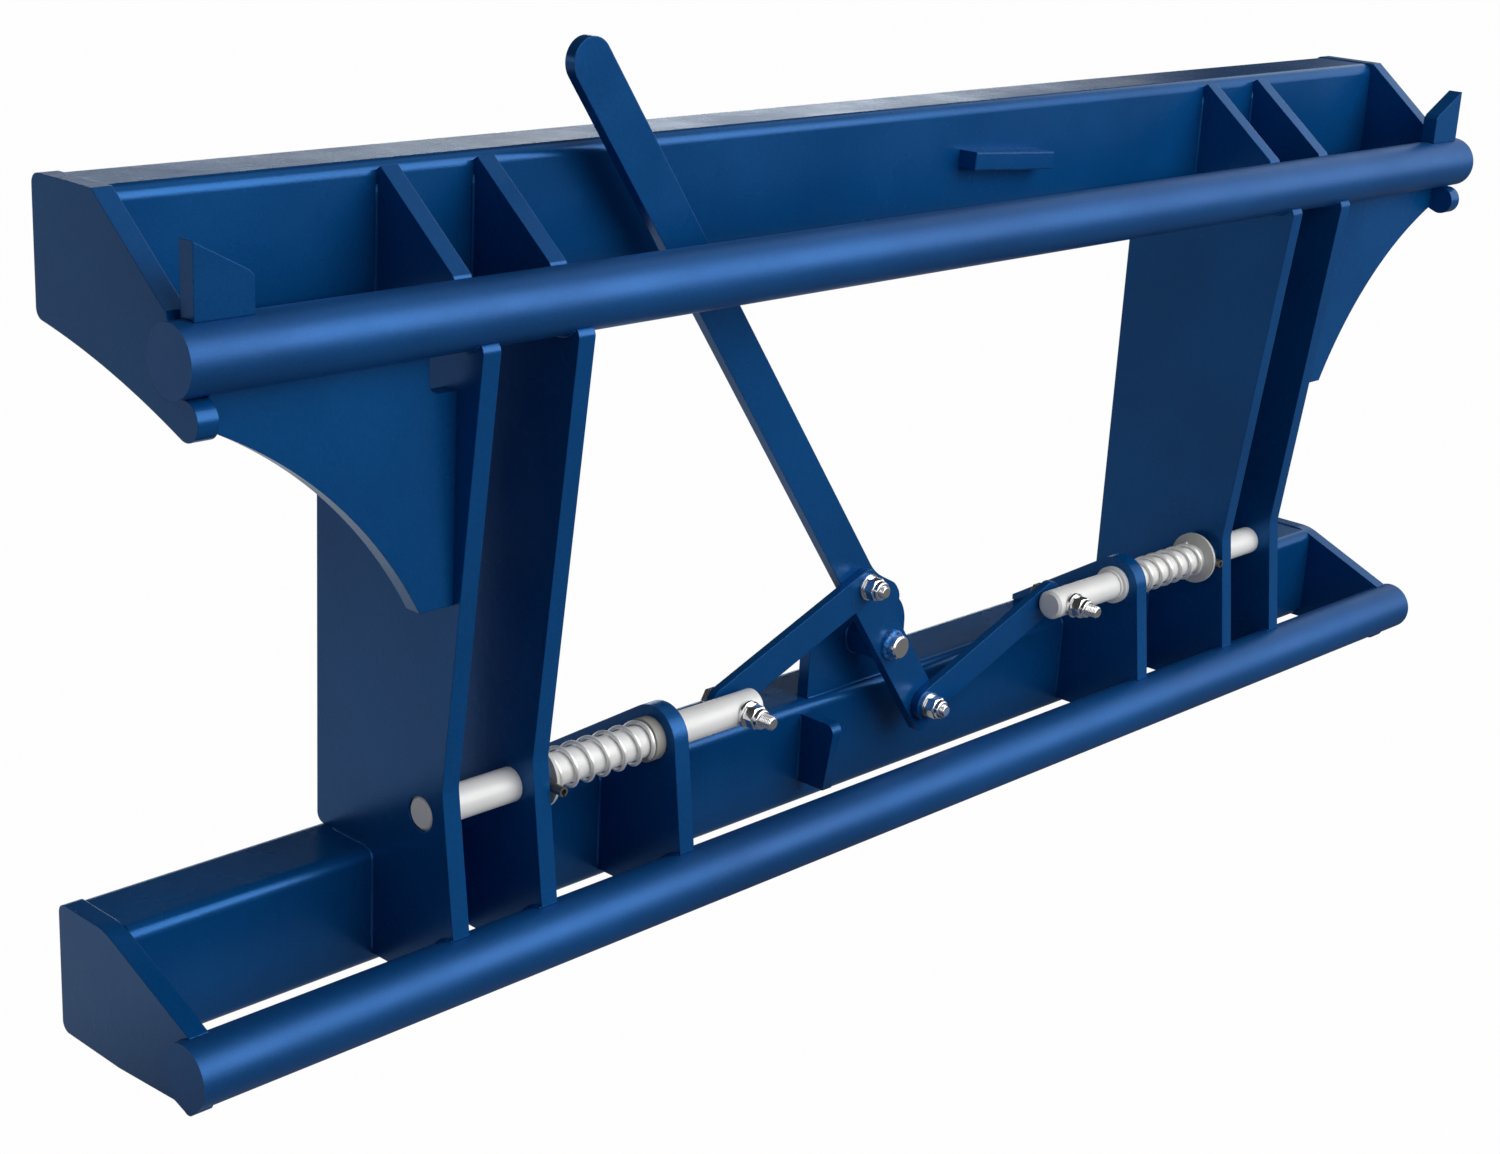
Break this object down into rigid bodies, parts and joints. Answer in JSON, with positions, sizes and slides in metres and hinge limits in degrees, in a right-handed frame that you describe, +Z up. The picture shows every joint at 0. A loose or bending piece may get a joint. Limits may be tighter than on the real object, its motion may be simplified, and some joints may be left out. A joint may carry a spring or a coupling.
{
  "type": "front loader quick-hitch adapter frame",
  "caption": "Welded quick-attach adapter frame for a front loader: two box beams and two round tubes joined by notched plates, with a lever that draws sprung locking pins inwards.",
  "frame": {"origin": "on the floor under the middle of the adapter: centred along its length and its depth, at the lowest edges of the lower end plates", "axes": "+X along the beams to the right as seen from the implement side, +Y from the implement side towards the loader, +Z up"},
  "size_m": [1.616, 0.193, 0.7176],
  "materials": {
    "blue_paint": "satin powder coat",
    "bright_steel": "turned, zinc plated",
    "zinc": "bright zinc",
    "spring_steel": "zinc plated wire"
  },
  "bodies": {
    "frame": {"upper_beam": "blue_paint", "lower_beam": "blue_paint", "upper_hook_tube": "blue_paint", "lower_tube": "blue_paint", "tube_end_caps": "blue_paint", "left_inner_side_plate": "blue_paint", "left_outer_side_plate": "blue_paint", "left_upper_end_plate": "blue_paint", "left_lower_end_plate": "blue_paint", "left_gusset": "blue_paint", "left_guide_tab": "blue_paint", "left_pin_bracket": "blue_paint", "left_bush": "bright_steel", "left_spring": "spring_steel", "right_inner_side_plate": "blue_paint", "right_outer_side_plate": "blue_paint", "right_upper_end_plate": "blue_paint", "right_lower_end_plate": "blue_paint", "right_gusset": "blue_paint", "right_guide_tab": "blue_paint", "right_pin_bracket": "blue_paint", "right_bush": "bright_steel", "right_spring": "spring_steel", "pivot_post": "blue_paint", "pivot_sleeve": "blue_paint", "lever_rest": "blue_paint", "lever_stop": "blue_paint"},
    "lever": {"lever": "blue_paint", "lever_bolts": "zinc", "lever_bolt_washers": "zinc", "lever_nuts": "zinc", "pivot_pin": "bright_steel", "pivot_weld": "blue_paint", "pivot_washer": "zinc", "pivot_split_pin": "zinc"},
    "left_link": {"left_link": "blue_paint", "left_link_bolt_head": "zinc", "left_link_bolt_washer": "zinc"},
    "right_link": {"right_link": "blue_paint", "right_link_bolt_head": "zinc", "right_link_bolt_washer": "zinc"},
    "left_pin": {"left_locking_pin": "bright_steel", "left_spring_washer": "zinc", "left_roll_pin": "bright_steel", "left_pin_bolt_thread": "zinc", "left_pin_bolt_washer": "zinc", "left_pin_nut": "zinc"},
    "right_pin": {"right_locking_pin": "bright_steel", "right_spring_washer": "zinc", "right_roll_pin": "bright_steel", "right_pin_bolt_thread": "zinc", "right_pin_bolt_washer": "zinc", "right_pin_nut": "zinc"}
  },
  "joints": [
    {"name": "lever_pivot", "type": "hinge", "parent": "frame", "child": "lever", "pos_m": [0, -0.0034, 0.1525], "axis": [0, 1, 0], "range_deg": [0, 61]},
    {"name": "left_pin_slide", "type": "slide", "parent": "frame", "child": "left_pin", "axis": [1, 0, 0], "range_m": [0, 0.0894], "stiffness_N_per_m": 3130, "springref_m": -0.03, "deforming": ["left_spring"]},
    {"name": "right_pin_slide", "type": "slide", "parent": "frame", "child": "right_pin", "axis": [-1, 0, 0], "range_m": [0, 0.0894], "stiffness_N_per_m": 3130, "springref_m": -0.03, "deforming": ["right_spring"]},
    {"name": "left_link_pivot", "type": "hinge", "parent": "lever", "child": "left_link", "pos_m": [-0.04996, -0.0127, 0.22127], "axis": [0, 1, 0], "range_deg": [-63.8, 0]},
    {"name": "right_link_pivot", "type": "hinge", "parent": "lever", "child": "right_link", "pos_m": [0.04996, -0.0127, 0.08373], "axis": [0, 1, 0], "range_deg": [-63.8, 0]}
  ],
  "couplings": [
    {"joint": "left_pin_slide", "follows": "lever_pivot", "m_per_rad": 0.08388},
    {"joint": "right_pin_slide", "follows": "lever_pivot", "m_per_rad": 0.08388},
    {"joint": "left_link_pivot", "follows": "lever_pivot", "ratio": -1.044},
    {"joint": "right_link_pivot", "follows": "lever_pivot", "ratio": -1.044}
  ]
}
